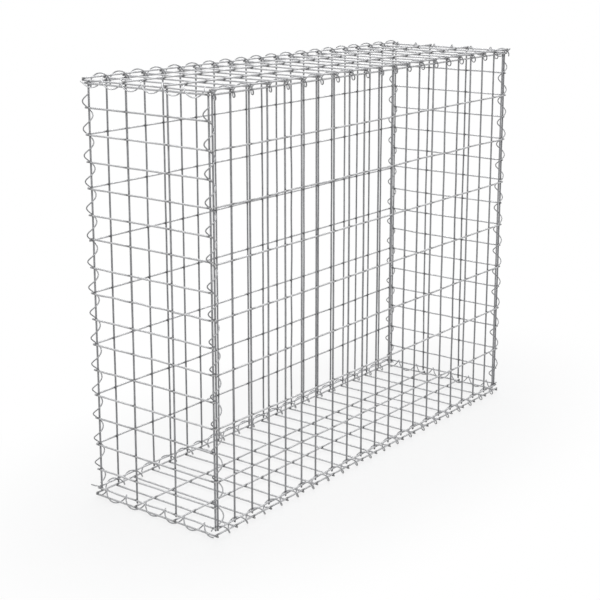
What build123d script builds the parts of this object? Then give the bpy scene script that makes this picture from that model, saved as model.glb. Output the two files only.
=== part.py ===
from build123d import *
import os
from math import ceil, cos, floor, pi, radians, sin, sqrt

# A welded wire mesh gabion basket: six flat panels laced along their twelve edges by spiral binders.
# X runs along the basket, Y across it and Z up. The origin is on the ground, under its middle.

# Driving sizes, in millimetres
LENGTH = 1000.0
WIDTH = 300.0
HEIGHT = 800.0
CLOSE_MESH = 50.0
WIDE_MESH = 100.0
WIRE = 4.0
WELD_MELT = 0.4
SPIRAL_WIRE = 2.5
SPIRAL_BORE = 19.5
SPIRAL_PITCH = CLOSE_MESH

# How far the walls' outer wires stand from the lines where the faces would meet
WALL_EDGE_SETBACK = 5.0
WALL_TOP_DROP = 5.0
WALL_FOOT_RISE = 11.0

# How far the wires run on past the outer wire that they are welded to
SHORT_STUB = 2.5
LONG_STUB = 6.0

# Room between a spiral and the wires that it seats on, and between its ends and the basket's corner
SEAT_CLEARANCE = 0.2
CORNER_CLEARANCE = 1.5

# A spiral is drawn as straight runs of a three-sided bar
RUNS_PER_TURN = 6
SPIRAL_SIDES = 3

# How far a level spiral swings in under the wire that it hangs on, in degrees
LID_LEAN = 45.0
BASE_LEAN = 0.0

# Where a strand stands as it passes the crossing wires, in degrees from the face of the wall
UPRIGHT_PHASE = 45.0
LEVEL_PHASE = 0.0

# Two wires welded across each other lie one layer apart, and a mesh wire is drawn as a square bar
LAYER = WIRE - WELD_MELT

# The strand's middle keeps this radius at the middle of each run, and a little more at its corners
STRAND_RADIUS = (SPIRAL_BORE + SPIRAL_WIRE) / 2
CORNER_RADIUS = STRAND_RADIUS / cos(pi / RUNS_PER_TURN)
STRAND_REACH = SPIRAL_WIRE / sqrt(SPIRAL_SIDES)
SPIRAL_REACH = CORNER_RADIUS + STRAND_REACH

# The bars inside a spiral keep within this radius of its axis, corners included
SEAT_ROOM = STRAND_RADIUS - STRAND_REACH - SEAT_CLEARANCE

# The base's inner wires lie at zero until the whole basket is set on the ground
LID_LEVEL = HEIGHT
WALL_TOP = LID_LEVEL - WALL_TOP_DROP
WALL_FOOT = WALL_FOOT_RISE


def stations(length, mesh, low, high):
    """Wire places across a face centred on zero: whole meshes inside, outer wires at low and high."""
    gaps = max(2, round(length / mesh))
    return [low, *((i / gaps - 0.5) * length for i in range(1, gaps)), high]


def lattice(rods, rod_stub, rails, rail_stub):
    """Rods along Y on the plane and rails along X one layer above them, fused where they are welded."""
    rod_low, rod_high = rails[0] - rod_stub[0], rails[-1] + rod_stub[1]
    rail_low, rail_high = rods[0] - rail_stub, rods[-1] + rail_stub
    rod = Pos(0, (rod_low + rod_high) / 2, 0) * Box(LAYER, rod_high - rod_low, LAYER)
    rail = Pos((rail_low + rail_high) / 2, 0, LAYER) * Box(rail_high - rail_low, LAYER, LAYER)
    bars = [Pos(x, 0, 0) * rod for x in rods] + [Pos(0, y, 0) * rail for y in rails]
    return bars[0].fuse(*bars[1:])


def wall(length, upright_mesh, level_mesh):
    """An upright panel seen from outside, about the middle of its face, with its level wires outermost."""
    edge = length / 2 - WALL_EDGE_SETBACK
    uprights = stations(length, upright_mesh, -edge, edge)
    levels = stations(HEIGHT, level_mesh, WALL_FOOT - HEIGHT / 2, WALL_TOP - HEIGHT / 2)
    return lattice(uprights, (LONG_STUB, SHORT_STUB), levels, LONG_STUB)


def deck():
    """The lid or the base seen from above, with its cross wires below its lengthwise ones."""
    far_x, far_y = LENGTH / 2 + LAYER, WIDTH / 2 + LAYER
    cross = stations(LENGTH, CLOSE_MESH, -far_x, far_x)
    lengthwise = stations(WIDTH, WIDE_MESH, -far_y, far_y)
    return lattice(cross, (SHORT_STUB, SHORT_STUB), lengthwise, SHORT_STUB)


def seat_offset(lean):
    """How far a spiral's axis lies from the bar that it hangs on, with the bar's corner just inside it."""
    slant = sin(radians(lean)) + cos(radians(lean))
    return sqrt(SEAT_ROOM**2 - (LAYER / 2) ** 2 * (2 - slant**2)) - LAYER / 2 * slant


def spiral(axis_point, out, up, length, phase):
    """A right-handed binder, its strand at phase degrees from out towards up at each crossing wire."""
    along = out.cross(up)
    turn_step = 360 / RUNS_PER_TURN
    # One run's middle stands straight along up, so that runs and not corners meet the ground
    first_angle = 90 - turn_step / 2
    low = ceil((phase - first_angle - 360 * length / 2 / SPIRAL_PITCH) / turn_step)
    high = floor((phase - first_angle + 360 * length / 2 / SPIRAL_PITCH) / turn_step)
    corners = []
    for step in range(low, high + 1):
        angle = first_angle + step * turn_step
        spoke = out * cos(radians(angle)) + up * sin(radians(angle))
        corners.append(axis_point + along * ((angle - phase) / 360 * SPIRAL_PITCH) + spoke * CORNER_RADIUS)
    path = Polyline(*corners)
    section = Plane(origin=path @ 0, z_dir=path % 0) * RegularPolygon(STRAND_REACH, SPIRAL_SIDES)
    return sweep(section, path=path, transition=Transition.RIGHT)


X_AXIS, Y_AXIS, Z_AXIS = Vector(1, 0, 0), Vector(0, 1, 0), Vector(0, 0, 1)
parts = {}

# The two long walls and the two end walls
for name, side in (("front", -1), ("back", 1)):
    face = Plane(origin=(0, side * WIDTH / 2, HEIGHT / 2), x_dir=X_AXIS * -side, z_dir=Y_AXIS * side)
    parts[name + "_panel"] = face * wall(LENGTH, CLOSE_MESH, WIDE_MESH)
for name, side in (("left_end", -1), ("right_end", 1)):
    face = Plane(origin=(side * LENGTH / 2, 0, HEIGHT / 2), x_dir=Y_AXIS * side, z_dir=X_AXIS * side)
    parts[name + "_panel"] = face * wall(WIDTH, WIDE_MESH, CLOSE_MESH)

# The lid has its lengthwise wires on top, and the base lies with its cross wires to the ground
parts["lid_panel"] = Pos(0, 0, LID_LEVEL) * deck()
parts["base_panel"] = Pos(0, 0, -LAYER) * deck()

# Upright spirals hold the outer uprights of two walls, which lie against them on the inner side
pair_reach = (sqrt(2 * SEAT_ROOM**2 - WALL_EDGE_SETBACK**2) - WALL_EDGE_SETBACK - LAYER) / 2
spiral_room = SPIRAL_REACH + CORNER_CLEARANCE
level_spiral_room = SEAT_ROOM + spiral_room
upright_length = HEIGHT - 2 * level_spiral_room
for x_name, x_side in (("left", -1), ("right", 1)):
    for y_name, y_side in (("front", -1), ("back", 1)):
        corner = Vector(x_side * (LENGTH / 2 + pair_reach), y_side * (WIDTH / 2 + pair_reach), HEIGHT / 2)
        out, up = X_AXIS * x_side, Y_AXIS * y_side
        if x_side * y_side < 0:
            out, up = up, out
        name = f"{y_name}_{x_name}_spiral"
        parts[name] = spiral(corner, out, up, upright_length, UPRIGHT_PHASE)

# Level spirals hold the lid and the base to the walls. Each hangs on the upper of its two wires, except
# under the end walls, where the base's outer wire lies in the bottom of the loops
LONG_EDGE, END_EDGE = "long", "end"
hangs = {
    ("lid", LONG_EDGE): (LID_LEVEL + LAYER, -1, LID_LEAN),
    ("lid", END_EDGE): (LID_LEVEL, -1, LID_LEAN),
    ("base", LONG_EDGE): (WALL_FOOT, -1, BASE_LEAN),
    ("base", END_EDGE): (-LAYER, 1, BASE_LEAN),
}
for (deck_name, edge_kind), (wire_height, hang_way, lean) in hangs.items():
    inward = seat_offset(lean) * sin(radians(lean))
    height = wire_height + hang_way * seat_offset(lean) * cos(radians(lean))
    for side in (-1, 1):
        if edge_kind == LONG_EDGE:
            side_name = {-1: "front", 1: "back"}[side]
            out, across, length = Y_AXIS * side, WIDTH / 2, LENGTH
        else:
            side_name = {-1: "left", 1: "right"}[side]
            out, across, length = X_AXIS * side, LENGTH / 2, WIDTH
        axis_point = out * (across + LAYER - inward) + Z_AXIS * height
        up = Z_AXIS * -hang_way
        name = f"{side_name}_{deck_name}_spiral"
        parts[name] = spiral(axis_point, out, up, length - 2 * spiral_room, LEVEL_PHASE)

# Set on the ground, on its lowest loops
ground = min(part.bounding_box().min.Z for part in parts.values())
os.makedirs("parts", exist_ok=True)
for name, part in parts.items():
    export_step(Pos(0, 0, -ground) * part, f"parts/{name}.step")
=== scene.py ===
import random
from math import cos, pi, radians, sin, tau

import bpy
import numpy as np
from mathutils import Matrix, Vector


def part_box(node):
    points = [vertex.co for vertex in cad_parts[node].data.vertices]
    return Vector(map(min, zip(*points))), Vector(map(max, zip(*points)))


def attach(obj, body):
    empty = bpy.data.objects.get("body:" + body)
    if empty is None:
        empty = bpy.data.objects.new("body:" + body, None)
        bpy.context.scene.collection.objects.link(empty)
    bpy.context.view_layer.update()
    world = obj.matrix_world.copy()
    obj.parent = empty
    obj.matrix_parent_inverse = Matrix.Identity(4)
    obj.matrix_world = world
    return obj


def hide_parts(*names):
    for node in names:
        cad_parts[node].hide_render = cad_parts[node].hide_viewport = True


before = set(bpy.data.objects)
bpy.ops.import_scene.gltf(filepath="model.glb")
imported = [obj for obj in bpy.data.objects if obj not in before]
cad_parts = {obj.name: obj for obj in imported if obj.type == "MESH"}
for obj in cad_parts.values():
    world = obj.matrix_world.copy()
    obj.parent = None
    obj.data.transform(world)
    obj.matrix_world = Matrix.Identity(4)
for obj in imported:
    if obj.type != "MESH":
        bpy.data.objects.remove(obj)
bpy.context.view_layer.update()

# The base. A flat mesh of round galvanised wire, lying level with its close cross wires underneath
# and its few lengthwise wires on top. Every crossing is resistance welded, which sinks the two wires
# a little into each other and scorches the zinc round the spot. The ends are sheared.
X, Y, Z = range(3)
WIRE, WIRE_SIDES = 0.0036, 12
WELD_MELT = 0.0002
LAYER = WIRE - WELD_MELT
CLOSE_MESH, WIDE_MESH = 0.05, 0.1
SHORT_STUB, LONG_STUB = 0.0025, 0.006
WELD_REACH, BEAD_REACH, BEAD_HEIGHT = 0.0035, (0.0021, 0.0026), 0.0009
WIRE_STEP = 0.0125

# How far a wire swells and ripples out of true, and how far a panel warps out of flat
WIRE_SWELL, WIRE_RIPPLE, PANEL_WARP = 0.0006, 0.0003, (0.0008, 0.0014)

# The close wires that the welding line always sets short of their place, counted from its first end
WELDER_SLIPS = {6: -0.005, 13: -0.004}


def face_line(node, axis, side):
    """Where the middle of a panel's wires lies across its thickness, on its low or high side."""
    low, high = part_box(node)
    return (low[axis] + high[axis] + side * LAYER) / 2


# The lines where the faces of the basket would meet
EDGE_LINES = [
    (face_line("left_end_panel", X, 1), face_line("right_end_panel", X, -1)),
    (face_line("front_panel", Y, 1), face_line("back_panel", Y, -1)),
    (face_line("base_panel", Z, 1), face_line("lid_panel", Z, -1)),
]


def stations(axis, mesh, low, high):
    """Wire places along an axis: whole meshes between the edge lines, and outer wires at low and high."""
    first, last = EDGE_LINES[axis]
    gaps = round((last - first) / mesh)
    places = [first + (last - first) * i / gaps for i in range(gaps + 1)]
    if mesh == CLOSE_MESH:
        for i, slip in WELDER_SLIPS.items():
            if i < gaps:
                if axis == Z:
                    places[gaps - i] -= slip
                else:
                    places[i] += slip
    places[0], places[-1] = low, high
    return places


class Strands:
    """Round wires and weld beads gathered into one mesh, with the marks that their finish reads."""

    def __init__(self, seed):
        self.points, self.faces, self.strand, self.scorch, self.cut, self.painted_light = [], [], [], [], [], []
        self.random = random.Random(seed)

    def add(self, points, strand, scorch, cut, painted_light, faces):
        first = sum(len(block) for block in self.points)
        self.points.append(np.asarray(points))
        self.strand.append(np.asarray(strand))
        self.scorch.append(np.asarray(scorch))
        self.cut.append(np.asarray(cut))
        self.painted_light.append(np.full(len(points), painted_light))
        self.faces.extend(tuple(first + corner for corner in face) for face in faces)

    def tube(self, middles, radius, sides, painted_light, scorch=None):
        """A wire along a row of points, sheared off at both ends. Its painted light is 0 for painted shade,
        1 for a painted highlight.
        """
        middles = np.asarray(middles, float)
        count = len(middles)
        forward = np.gradient(middles, axis=0)
        forward /= np.linalg.norm(forward, axis=1)[:, None]
        # Carry one sideways direction along the wire without twisting it
        side = np.cross(forward[0], (0.3, 0.5, 0.81))
        sideways = []
        for step in forward:
            side = side - step * np.dot(side, step)
            side /= np.linalg.norm(side)
            sideways.append(side)
        sideways = np.array(sideways)
        upright = np.cross(forward, sideways)
        angles = np.arange(sides) * tau / sides
        ring = np.cos(angles)[:, None] * sideways[:, None] + np.sin(angles)[:, None] * upright[:, None]
        body = middles[:, None] + ring * radius
        # The shear leaves a slanting face with a pinched rim, sized here in radii
        pinch, overhang, shear = 0.88, 0.3, 0.25
        slant = self.random.uniform(0, tau)
        lean = np.cos(angles - slant)[:, None] * radius * shear
        tips = []
        for end, way in ((0, -forward[0]), (-1, forward[-1])):
            rim = middles[end] + ring[end] * radius * pinch + way * (lean + radius * overhang)
            tips.append(np.vstack([rim, middles[end] + way * radius * overhang]))
        points = np.concatenate([body.reshape(-1, 3), *tips])
        length = np.concatenate([[0], np.cumsum(np.linalg.norm(np.diff(middles, axis=0), axis=1))])
        # Each wire takes its zinc from its own stretch of one 50 m coil
        start = self.random.uniform(0, 50)
        along = np.repeat(length + start, sides)
        round_x, round_y = np.tile(np.cos(angles) * radius, count), np.tile(np.sin(angles) * radius, count)
        strand = np.stack([round_x, round_y, along], axis=1)
        tip_strand = np.zeros((sides + 1, 3))
        tip_strand[:, 2] = start
        marks = np.zeros(count) if scorch is None else np.asarray(scorch)
        faces = []
        for i in range(count - 1):
            for j in range(sides):
                k = (j + 1) % sides
                faces.append((i * sides + j, i * sides + k, (i + 1) * sides + k, (i + 1) * sides + j))
        low, high = count * sides, count * sides + sides + 1
        last = (count - 1) * sides
        for j in range(sides):
            k = (j + 1) % sides
            faces.append((k, j, low + j, low + k))
            faces.append((low + k, low + j, low + sides))
            faces.append((last + j, last + k, high + k, high + j))
            faces.append((high + j, high + k, high + sides))
        self.add(
            points,
            np.vstack([strand, tip_strand, tip_strand]),
            np.concatenate([np.repeat(marks, sides), np.zeros(2 * sides + 2)]),
            np.concatenate([np.zeros(count * sides), np.ones(2 * sides + 2)]),
            painted_light,
            faces,
        )

    def bead(self, middle, half, axes):
        """The flattened squeeze-out of one weld, in the crease between two wires."""
        rows, columns, lumpiness = 4, 10, 0.12
        turn = self.random.uniform(0, tau)
        points, faces = [middle + axes[2] * half[2]], []
        for i in range(1, rows):
            up, out = cos(pi * i / rows), sin(pi * i / rows)
            for j in range(columns):
                angle = j * tau / columns
                girth = out * (1 + lumpiness * sin(2 * angle + turn))
                flat = axes[0] * (half[0] * girth * cos(angle)) + axes[1] * (half[1] * girth * sin(angle))
                points.append(middle + flat + axes[2] * (half[2] * up))
        points.append(middle - axes[2] * half[2])
        last = len(points) - 1
        for j in range(columns):
            k = (j + 1) % columns
            faces.append((0, 1 + j, 1 + k))
            for i in range(rows - 2):
                upper, lower = 1 + i * columns, 1 + (i + 1) * columns
                faces.append((upper + j, lower + j, lower + k, upper + k))
            faces.append((last, last - columns + k, last - columns + j))
        strand = np.array(points) - middle
        # A bead takes the painted-shade end of the painted light, under its scorch
        self.add(points, strand, np.ones(len(points)), np.zeros(len(points)), 0.0, faces)

    def piece(self, name, material):
        """All the strands as one object, smooth along the wires and sharp at their sheared ends."""
        mesh = bpy.data.meshes.new(name)
        mesh.from_pydata(np.concatenate(self.points).tolist(), [], self.faces)
        strand = mesh.attributes.new("strand", "FLOAT_VECTOR", "POINT")
        strand.data.foreach_set("vector", np.concatenate(self.strand).ravel())
        for mark, values in (("scorch", self.scorch), ("cut", self.cut), ("painted_light", self.painted_light)):
            mesh.attributes.new(mark, "FLOAT", "POINT").data.foreach_set("value", np.concatenate(values))
        mesh.shade_smooth()
        mesh.set_sharp_from_angle(angle=radians(50))
        mesh.materials.append(material)
        piece = bpy.data.objects.new(name, mesh)
        bpy.context.collection.objects.link(piece)
        return piece


def painted_light_range(axis):
    """The range of painted light of the wires along an axis: the same zinc, painted in shade on uprights and
    with a highlight on level wires.
    """
    return (0.0, 0.2) if axis == Z else (0.75, 1.0)


def panel_mesh(node, seed, axes, out_side, meshes, stubs, first_rod, last_rod):
    """Rods welded on the inner side of rails, spread over the whole of a panel's box.

    axes are those that the rods run along, that the rails run along and that points out of the panel.
    meshes are the gaps between rods and between rails. stubs are how far the rods run on at their low
    and high ends, and the rails at both. first_rod and last_rod say how far these two stand outwards of
    their place, at the low end and at the high end."""
    rod_axis, rail_axis, out_axis = axes
    low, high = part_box(node)
    rod_low, rod_high = low[rod_axis], high[rod_axis]
    rail_low, rail_high = low[rail_axis], high[rail_axis]
    rods = stations(rail_axis, meshes[0], rail_low + stubs[2], rail_high - stubs[2])
    rails = stations(rod_axis, meshes[1], rod_low + stubs[0], rod_high - stubs[1])
    rod_depth = face_line(node, out_axis, -out_side)
    rail_depth = face_line(node, out_axis, out_side)
    strands = Strands(seed)
    spin = strands.random
    warp_size = spin.uniform(*PANEL_WARP) * spin.choice((-1, 1))
    warp_start = spin.uniform(0, tau)

    def warp(across, along):
        across = (across - rail_low) / (rail_high - rail_low)
        along = (along - rod_low) / (rod_high - rod_low)
        swell = warp_size * np.sin(pi * across) * np.sin(pi * along)
        lopside, waves = 0.4, 1.5
        return swell * (1 + lopside * np.sin(tau * waves * across + warp_start))

    def bow(length):
        swell, ripple = spin.gauss(0, WIRE_SWELL), spin.gauss(0, WIRE_RIPPLE)
        waves, start = spin.uniform(2.5, 5), spin.uniform(0, tau)
        return lambda s: swell * np.sin(pi * s / length) + ripple * np.sin(waves * tau * s / length + start)

    def leaning(wander, ends, side):
        return lambda s: wander(s) + side * (ends[0] + (ends[1] - ends[0]) * s / (rod_high - rod_low))

    def lay(places, bows, own_axis, across_axis, depth, crossings):
        start, end = low[own_axis], high[own_axis]
        steps = max(2, round((end - start) / WIRE_STEP))
        welds = np.concatenate([np.array(crossings) + reach for reach in (-WELD_REACH, 0, WELD_REACH)])
        s = np.union1d(np.linspace(start, end, steps + 1), welds)
        s = s[(s >= start) & (s <= end)]
        nearest = np.abs(s[:, None] - np.array(crossings)).min(axis=1)
        for place, wander in zip(places, bows):
            points = np.zeros((len(s), 3))
            points[:, own_axis] = s
            points[:, across_axis] = place + wander(s - start)
            points[:, out_axis] = depth + (warp(place, s) if own_axis == rod_axis else warp(s, place))
            # Painted light: uprights are painted in shade and level wires with a highlight
            painted_light = spin.uniform(*painted_light_range(own_axis))
            strands.tube(points, WIRE / 2, WIRE_SIDES, painted_light, np.exp(-((nearest / WELD_REACH) ** 2)))

    rod_bows = [bow(rod_high - rod_low) for _ in rods]
    rod_bows[0] = leaning(rod_bows[0], first_rod, -1)
    rod_bows[-1] = leaning(rod_bows[-1], last_rod, 1)
    rail_bows = [bow(rail_high - rail_low) for _ in rails]
    lay(rods, rod_bows, rod_axis, rail_axis, rod_depth, rails)
    lay(rails, rail_bows, rail_axis, rod_axis, rail_depth, rods)
    bead_axes = np.eye(3)[[rail_axis, rod_axis, out_axis]]
    for place, wander in zip(rods, rod_bows):
        for level, sway in zip(rails, rail_bows):
            middle = np.zeros(3)
            middle[rail_axis] = place + wander(level - rod_low)
            middle[rod_axis] = level + sway(place - rail_low)
            middle[out_axis] = (rod_depth + rail_depth) / 2 + warp(place, level)
            reach = spin.uniform(*BEAD_REACH)
            strands.bead(middle, (reach, reach * spin.uniform(0.9, 1.1), BEAD_HEIGHT), bead_axes)
    return strands


class Wiring:
    """A socket in a material's nodes. Sums on it add Math nodes, and node() adds any other."""

    def __init__(self, socket):
        self.socket = socket

    def node(self, kind, settings, inputs, output=0):
        tree = self.socket.id_data
        made = tree.nodes.new(kind)
        for name, value in settings.items():
            setattr(made, name, value)
        for key, value in inputs.items():
            if isinstance(value, Wiring):
                tree.links.new(value.socket, made.inputs[key])
            else:
                made.inputs[key].default_value = value
        return Wiring(made.outputs[output])

    def into(self, socket):
        self.socket.id_data.links.new(self.socket, socket)

    def maths(self, operation, first, second):
        return self.node("ShaderNodeMath", {"operation": operation}, {0: first, 1: second})

    def __add__(self, other):
        return self.maths("ADD", self, other)

    def __sub__(self, other):
        return self.maths("SUBTRACT", self, other)

    def __rsub__(self, other):
        return self.maths("SUBTRACT", other, self)

    def __mul__(self, other):
        return self.maths("MULTIPLY", self, other)

    __radd__, __rmul__ = __add__, __mul__

    def blend(self, colour, other):
        """Colour where this mask is 0 and other where it is 1, from the Mix node's colour sockets."""
        return self.node("ShaderNodeMix", {"data_type": "RGBA"}, {0: self, 6: colour, 7: other}, 2)


# Zinc where it is fresh and where it has faded, under painted shade and under a painted highlight, and the
# bare marks
PAINTED_SHADE_FRESH, PAINTED_HIGHLIGHT_FRESH = (0.48, 0.485, 0.50, 1), (0.90, 0.905, 0.92, 1)
PAINTED_SHADE_FADED, PAINTED_HIGHLIGHT_FADED = (0.32, 0.325, 0.34, 1), (0.70, 0.705, 0.72, 1)
SCORCHED_ZINC, BARE_STEEL = (0.055, 0.055, 0.06, 1), (0.20, 0.185, 0.17, 1)


def galvanised(name, roughness, drawn_depth):
    """Hot zinc on drawn wire: lengthwise draw lines, cloudy patches, scorched welds and bare ends."""
    material = bpy.data.materials.new(name)
    material.use_nodes = True
    shader = material.node_tree.nodes["Principled BSDF"].inputs
    start = Wiring(shader["Base Color"])

    def mark(attribute, output="Fac"):
        return start.node("ShaderNodeAttribute", {"attribute_name": attribute}, {}, output)

    strand, scorch, cut, painted_light = mark("strand", "Vector"), mark("scorch"), mark("cut"), mark("painted_light")
    cloud_sizes = {"Vector": strand, "Scale": 90.0, "Detail": 3.0, "Roughness": 0.6}
    clouds = start.node("ShaderNodeTexNoise", {}, cloud_sizes)
    drawn_out = {0: strand, 1: (1.0, 1.0, 0.03)}
    stretched = start.node("ShaderNodeVectorMath", {"operation": "MULTIPLY"}, drawn_out)
    drawn_sizes = {"Vector": stretched, "Scale": 2600.0, "Detail": 2.0, "Roughness": 0.5}
    drawn = start.node("ShaderNodeTexNoise", {}, drawn_sizes)
    grain_sizes = {"Vector": strand, "Scale": 520.0, "Randomness": 1.0}
    grains = start.node("ShaderNodeTexVoronoi", {"feature": "F1"}, grain_sizes, "Color")
    grain = start.node("ShaderNodeSeparateColor", {}, {"Color": grains})
    cloud_contrast, grain_contrast = 2.2, 0.5
    patch = (clouds - 0.5) * cloud_contrast + (grain - 0.5) * grain_contrast + 0.5
    patch = start.node("ShaderNodeClamp", {}, {"Value": patch})
    # Each wire's painted light moves its zinc from painted shade to a painted highlight, and its Metallic
    # rises with it
    colour = patch.blend(painted_light.blend(PAINTED_SHADE_FRESH, PAINTED_HIGHLIGHT_FRESH), painted_light.blend(PAINTED_SHADE_FADED, PAINTED_HIGHLIGHT_FADED))
    scorch_cover, bare_cover = 0.75, 0.6
    colour = (scorch * scorch_cover).blend(colour, SCORCHED_ZINC)
    colour = (cut * bare_cover).blend(colour, BARE_STEEL)
    colour.into(shader["Base Color"])
    (roughness + patch * 0.12 + scorch * 0.15 + (drawn - 0.5) * 0.1).into(shader["Roughness"])
    (painted_light * 0.2 + 0.05).into(shader["Metallic"])
    relief = drawn * drawn_depth + clouds * 0.35 + grain * 0.15
    bump = start.node("ShaderNodeBump", {}, {"Height": relief, "Strength": 0.35, "Distance": 0.0002})
    bump.into(shader["Normal"])
    return material


mesh_finish = galvanised("galvanised_mesh_wire", 0.25, 0.5)


def show_panel(node, seed, axes, out_side, meshes, stubs, first_rod=(0, 0), last_rod=(0, 0)):
    strands = panel_mesh(node, seed, axes, out_side, meshes, stubs, first_rod, last_rod)
    piece = strands.piece(node + "_wires", mesh_finish)
    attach(piece, "root")
    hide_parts(node)


DECK_AXES, DECK_MESHES, DECK_STUBS = (Y, X, Z), (CLOSE_MESH, WIDE_MESH), (SHORT_STUB, SHORT_STUB, SHORT_STUB)
show_panel("base_panel", 11, DECK_AXES, 1, DECK_MESHES, DECK_STUBS)

# The two end walls. Narrow meshes of the same wire stood on end, with four uprights inside and close
# level wires outside. Spirals hold them to every neighbour, and pull each one's front upright outwards.
END_AXES, END_MESHES, WALL_STUBS = (Z, Y, X), (WIDE_MESH, CLOSE_MESH), (LONG_STUB, SHORT_STUB, LONG_STUB)
show_panel("left_end_panel", 21, END_AXES, -1, END_MESHES, WALL_STUBS, first_rod=(0.0021, 0.0))
show_panel("right_end_panel", 22, END_AXES, 1, END_MESHES, WALL_STUBS, first_rod=(0.0034, 0.0034))

# The two long walls. The same mesh turned the other way, with close uprights inside and level wires
# outside every second mesh. The uprights run on a little past the bottom wire, and the front wall's
# outer ones stand off their places.
LONG_AXES, LONG_MESHES = (Z, X, Y), (CLOSE_MESH, WIDE_MESH)
left_upright, right_upright = (0.0021, 0.0015), (-0.0055, -0.0055)
show_panel("front_panel", 31, LONG_AXES, -1, LONG_MESHES, WALL_STUBS, left_upright, right_upright)
show_panel("back_panel", 32, LONG_AXES, 1, LONG_MESHES, WALL_STUBS)

# The lid. The same flat mesh as the base, laid on the walls with its lengthwise wires on top and
# held down along all four sides by spirals.
show_panel("lid_panel", 41, DECK_AXES, 1, DECK_MESHES, DECK_STUBS)

# The spiral binders. Each is a thinner galvanised wire wound to a right-handed spiral of one turn a
# mesh, screwed in from a corner round the paired edge wires of two panels. The springy strand never
# sits quite true, and some of its cut ends stand out past the corners.
# Each binder's painted light paints its whole strand in shade, or with a highlight where the value is high.
SPIRAL_WIRE, SPIRAL_SIDES = 0.0025, 8
SPIRAL_PITCH = CLOSE_MESH
STRAND_STEP = 15
COIL_UNEVENNESS, PITCH_UNEVENNESS, SPIRAL_SAG = 0.0002, 0.0011, 0.0007
spiral_finish = galvanised("galvanised_spiral_wire", 0.22, 0.4)
RIGHT, BACK, UP = Vector((1, 0, 0)), Vector((0, 1, 0)), Vector((0, 0, 1))


def tail(tip, inner, bend, length):
    """The points of a cut end that stands out from tip, bent over from the way it leaves to bend."""
    steps, bend_steps = 6, 3
    way, bend = (tip - inner).normalized(), Vector(bend).normalized()
    row = []
    for i in range(1, steps + 1):
        way = way.lerp(bend, min(1.0, i / bend_steps)).normalized()
        tip = tip + way * (length / steps)
        row.append(tip)
    return row


def spiral_piece(
    node, seed, out, up, half, radius, phase, painted_light,
    low_shift=(0, 0, 0), high_shift=None, low_tail=None, high_tail=None,
):
    """A binder about the middle of its node, its strand at phase degrees from out towards up there.

    It winds right-handed along out x up, for half of its length on either side of the middle, and its
    low and high ends may lie shifted. A low or high tail is the way that an end stands, and its length."""
    strands = Strands(seed)
    spin = strands.random
    along = out.cross(up)
    long_axis = max(range(3), key=lambda axis: abs(along[axis]))
    low_corner, high_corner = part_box(node)
    middle = Vector((low_corner + high_corner) / 2)
    middle[long_axis] = sum(EDGE_LINES[long_axis]) / 2
    low_shift, high_shift = Vector(low_shift), Vector(high_shift or low_shift)
    first, last = phase - 360 * half / SPIRAL_PITCH, phase + 360 * half / SPIRAL_PITCH
    steps = round((last - first) / STRAND_STEP)
    waves, start = spin.uniform(2, 4), spin.uniform(0, tau)
    swing, sag_waves = spin.uniform(0, tau), waves * 0.7
    points = []
    for i in range(steps + 1):
        share = i / steps
        angle = first + (last - first) * share
        reach = radius + COIL_UNEVENNESS * sin(waves * tau * share + start)
        drift = PITCH_UNEVENNESS * sin(tau * share * (waves - 1) + start)
        spoke = out * cos(radians(angle)) + up * sin(radians(angle))
        sag = out * (SPIRAL_SAG * sin(sag_waves * tau * share + swing)) + low_shift.lerp(high_shift, share)
        advance = (angle - phase) / 360 * SPIRAL_PITCH + drift
        points.append(middle + along * advance + spoke * reach + sag)
    if low_tail:
        points = tail(points[0], points[1], *low_tail)[::-1] + points
    if high_tail:
        points = points + tail(points[-1], points[-2], *high_tail)
    # The painted light value colours the whole strand with painted shade or a painted highlight
    strands.tube(points, SPIRAL_WIRE / 2, SPIRAL_SIDES, painted_light)
    piece = strands.piece(node + "_strand", spiral_finish)
    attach(piece, "root")
    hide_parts(node)


# The upright binders. They stand round the outer uprights of two walls at each corner, a few
# millimetres off the corner's middle as they were screwed in, and the front left one leans.
UPRIGHT_HALF, UPRIGHT_RADIUS = 0.376, 0.0092
upright = UPRIGHT_HALF, UPRIGHT_RADIUS
spiral_piece(
    "front_left_spiral", 51, -RIGHT, -BACK, *upright, phase=-132, painted_light=0.45,
    low_shift=(0.0018, -0.0034, 0), high_shift=(-0.0033, 0.0033, 0),
)
spiral_piece(
    "back_left_spiral", 52, BACK, -RIGHT, *upright, phase=-38, painted_light=0.35,
    low_shift=(0.0023, -0.003, 0),
)
spiral_piece(
    "front_right_spiral", 53, -BACK, RIGHT, *upright, phase=-65, painted_light=0.35,
    low_shift=(-0.0038, 0.005, 0),
)
spiral_piece("back_right_spiral", 54, RIGHT, BACK, *upright, phase=0, painted_light=0.35)

# The lid's binders. They hang on the lid's outer wires and go round the walls' top wires, and the
# ones across the ends finish in a tail that was never trimmed.
LONG_HALF, END_HALF = 0.506, 0.148
FRONT_LID_RADIUS, BACK_LID_RADIUS, END_LID_RADIUS = 0.0108, 0.0109, 0.0096
FRONT_LID_DROP, END_LID_LIFT = (0, 0, -0.0032), (0, 0, 0.0015)
spiral_piece(
    "front_lid_spiral", 61, -BACK, UP, LONG_HALF, FRONT_LID_RADIUS, phase=0, painted_light=0.1,
    low_shift=FRONT_LID_DROP,
)
spiral_piece("back_lid_spiral", 62, BACK, UP, LONG_HALF, BACK_LID_RADIUS, phase=212, painted_light=0.1)
spiral_piece(
    "left_lid_spiral", 63, -RIGHT, UP, END_HALF, END_LID_RADIUS, phase=0, painted_light=0.8,
    low_shift=END_LID_LIFT, high_tail=((-0.35, 0.75, 0.56), 0.007),
)
spiral_piece(
    "right_lid_spiral", 64, RIGHT, UP, END_HALF, END_LID_RADIUS, phase=0, painted_light=0.3,
    low_shift=END_LID_LIFT, high_tail=((0.1, -0.67, 0.7), 0.014),
)

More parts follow.
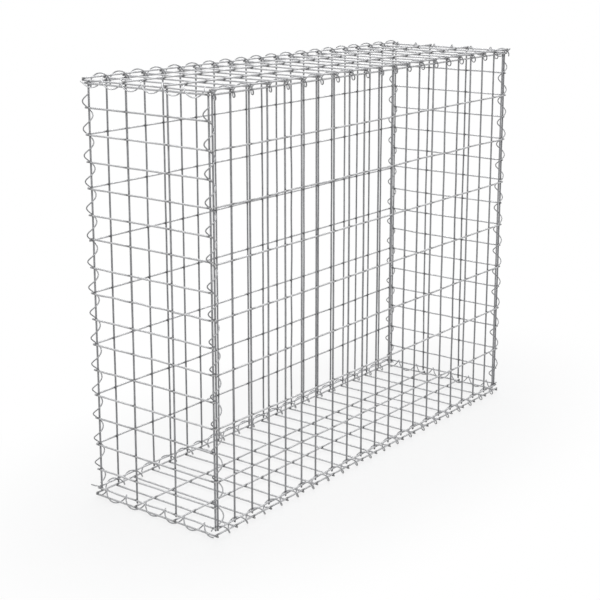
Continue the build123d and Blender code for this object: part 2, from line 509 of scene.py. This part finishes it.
# The base's binders. They go round the base's outer wires and the walls' lowest wires, and one end
# of the back one stands out in a short tail.
BASE_RADIUS = 0.0104
spiral_piece("front_base_spiral", 65, -BACK, UP, LONG_HALF, BASE_RADIUS, phase=130, painted_light=0.4)
spiral_piece(
    "back_base_spiral", 66, BACK, UP, LONG_HALF, BASE_RADIUS, phase=130, painted_light=0.4,
    low_tail=((-0.7, 0.3, 0.4), 0.01),
)
spiral_piece("left_base_spiral", 67, -RIGHT, -UP, END_HALF, BASE_RADIUS, phase=90, painted_light=0.4)
spiral_piece("right_base_spiral", 68, RIGHT, -UP, END_HALF, BASE_RADIUS, phase=110, painted_light=0.4)

# The studio. A white floor that takes a faint shadow, a white room round it, and three broad soft
# lamps: overhead, behind the far corner, and in front on the left.
FLOOR_REACH = 60.0
FLOOR_ROUGHNESS = 0.55
SEEN_FLOOR, BOUNCE_FLOOR = (0.94, 0.945, 0.955, 1), (0.12, 0.12, 0.12, 1)
floor_corners = [(-1, -1), (1, -1), (1, 1), (-1, 1)]
floor_mesh = bpy.data.meshes.new("floor")
floor_mesh.from_pydata([(x * FLOOR_REACH, y * FLOOR_REACH, 0) for x, y in floor_corners], [], [(0, 1, 2, 3)])
floor_white = bpy.data.materials.new("floor_white")
floor_white.use_nodes = True
floor_nodes = floor_white.node_tree.nodes
floor_shader = floor_nodes["Principled BSDF"]
floor_shader.inputs["Roughness"].default_value = FLOOR_ROUGHNESS


def seen_rays(start):
    """1 for the rays that see the floor or the room, and 0 for those that carry its light."""
    kinds = ("Is Camera Ray", "Is Glossy Ray", "Is Transmission Ray")
    rays = [start.node("ShaderNodeLightPath", {}, {}, kind) for kind in kinds]
    return start.maths("MINIMUM", rays[0] + rays[1] + rays[2], 1.0)


# The floor shows a little of its shadow in an oval round the basket, and glows white outside of it
start = Wiring(floor_shader.inputs["Base Color"])
place = start.node("ShaderNodeTexCoord", {}, {}, "Object")
oval = start.node("ShaderNodeVectorMath", {"operation": "MULTIPLY"}, {0: place, 1: (1.0, 1.9, 0.0)})
away = start.node("ShaderNodeVectorMath", {"operation": "LENGTH"}, {0: oval}, "Value")
oval_sizes = {"Value": away, "From Min": 0.55, "From Max": 1.1, "To Min": 0.8, "To Max": 1.0}
far = start.node("ShaderNodeMapRange", {"interpolation_type": "SMOOTHSTEP"}, oval_sizes)
seen = seen_rays(start)
glow = start.node("ShaderNodeEmission", {}, {"Color": (1, 1, 1, 1), "Strength": 1.0})
mixed = start.node("ShaderNodeMixShader", {}, {0: far * seen, 1: Wiring(floor_shader.outputs[0]), 2: glow})
mixed.into(floor_nodes["Material Output"].inputs["Surface"])
seen.blend(BOUNCE_FLOOR, SEEN_FLOOR).into(floor_shader.inputs["Base Color"])
floor_mesh.materials.append(floor_white)
floor_piece = bpy.data.objects.new("floor", floor_mesh)
bpy.context.collection.objects.link(floor_piece)

# The room is white where it is seen, and gives the basket a trace of light
ROOM_LIGHT = 0.03
world = bpy.data.worlds.new("white_room")
bpy.context.scene.world = world
world.use_nodes = True
backdrop = world.node_tree.nodes["Background"]
backdrop.inputs["Color"].default_value = (1, 1, 1, 1)
start = Wiring(backdrop.inputs["Strength"])
(seen_rays(start) * (1 - ROOM_LIGHT) + ROOM_LIGHT).into(backdrop.inputs["Strength"])

# The lamps, each with its place, the side of its square in metres, and its power in watts
LAMP_AIM = Vector((0, 0, 0.4))
for name, place, size, energy in (
    ("overhead_softbox", (0.0, 0.0, 4.6), 2.6, 94.0),
    ("rear_softbox", (2.2, 1.6, 3.6), 3.4, 55.0),
    ("front_softbox", (-3.0, -2.6, 2.6), 2.6, 80.0),
):
    lamp = bpy.data.lights.new(name, "AREA")
    lamp.shape = "RECTANGLE"
    lamp.size, lamp.size_y, lamp.energy = size, size, energy
    softbox = bpy.data.objects.new(name, lamp)
    softbox.location = place
    softbox.rotation_euler = (Vector(place) - LAMP_AIM).to_track_quat("Z", "Y").to_euler()
    softbox.visible_camera = False
    bpy.context.collection.objects.link(softbox)

# The camera. It stands off the front left corner at chest height and looks down at the basket, with
# the lens sunk by a little over a tenth of the picture to frame it.
CAMERA_PLACE = (-2.1895, -1.6483, 1.0728)
HEADING, TILT = 52.246, -12.467
LENS_PIXELS, IMAGE_PIXELS, SENSOR = 1344.46, 600, 36.0
SINK_PIXELS = -72.0
camera_data = bpy.data.cameras.new("camera")
camera_data.sensor_width = SENSOR
camera_data.lens = LENS_PIXELS / IMAGE_PIXELS * SENSOR
camera_data.shift_y = SINK_PIXELS / IMAGE_PIXELS
camera_data.clip_end = 3 * FLOOR_REACH
camera = bpy.data.objects.new("camera", camera_data)
camera.location = CAMERA_PLACE
ahead = Vector((sin(radians(HEADING)), cos(radians(HEADING)), 0)) * cos(radians(TILT))
ahead.z = sin(radians(TILT))
camera.rotation_euler = ahead.to_track_quat("-Z", "Y").to_euler()
bpy.context.collection.objects.link(camera)
bpy.context.scene.camera = camera
bpy.context.scene.view_settings.view_transform = "Standard"
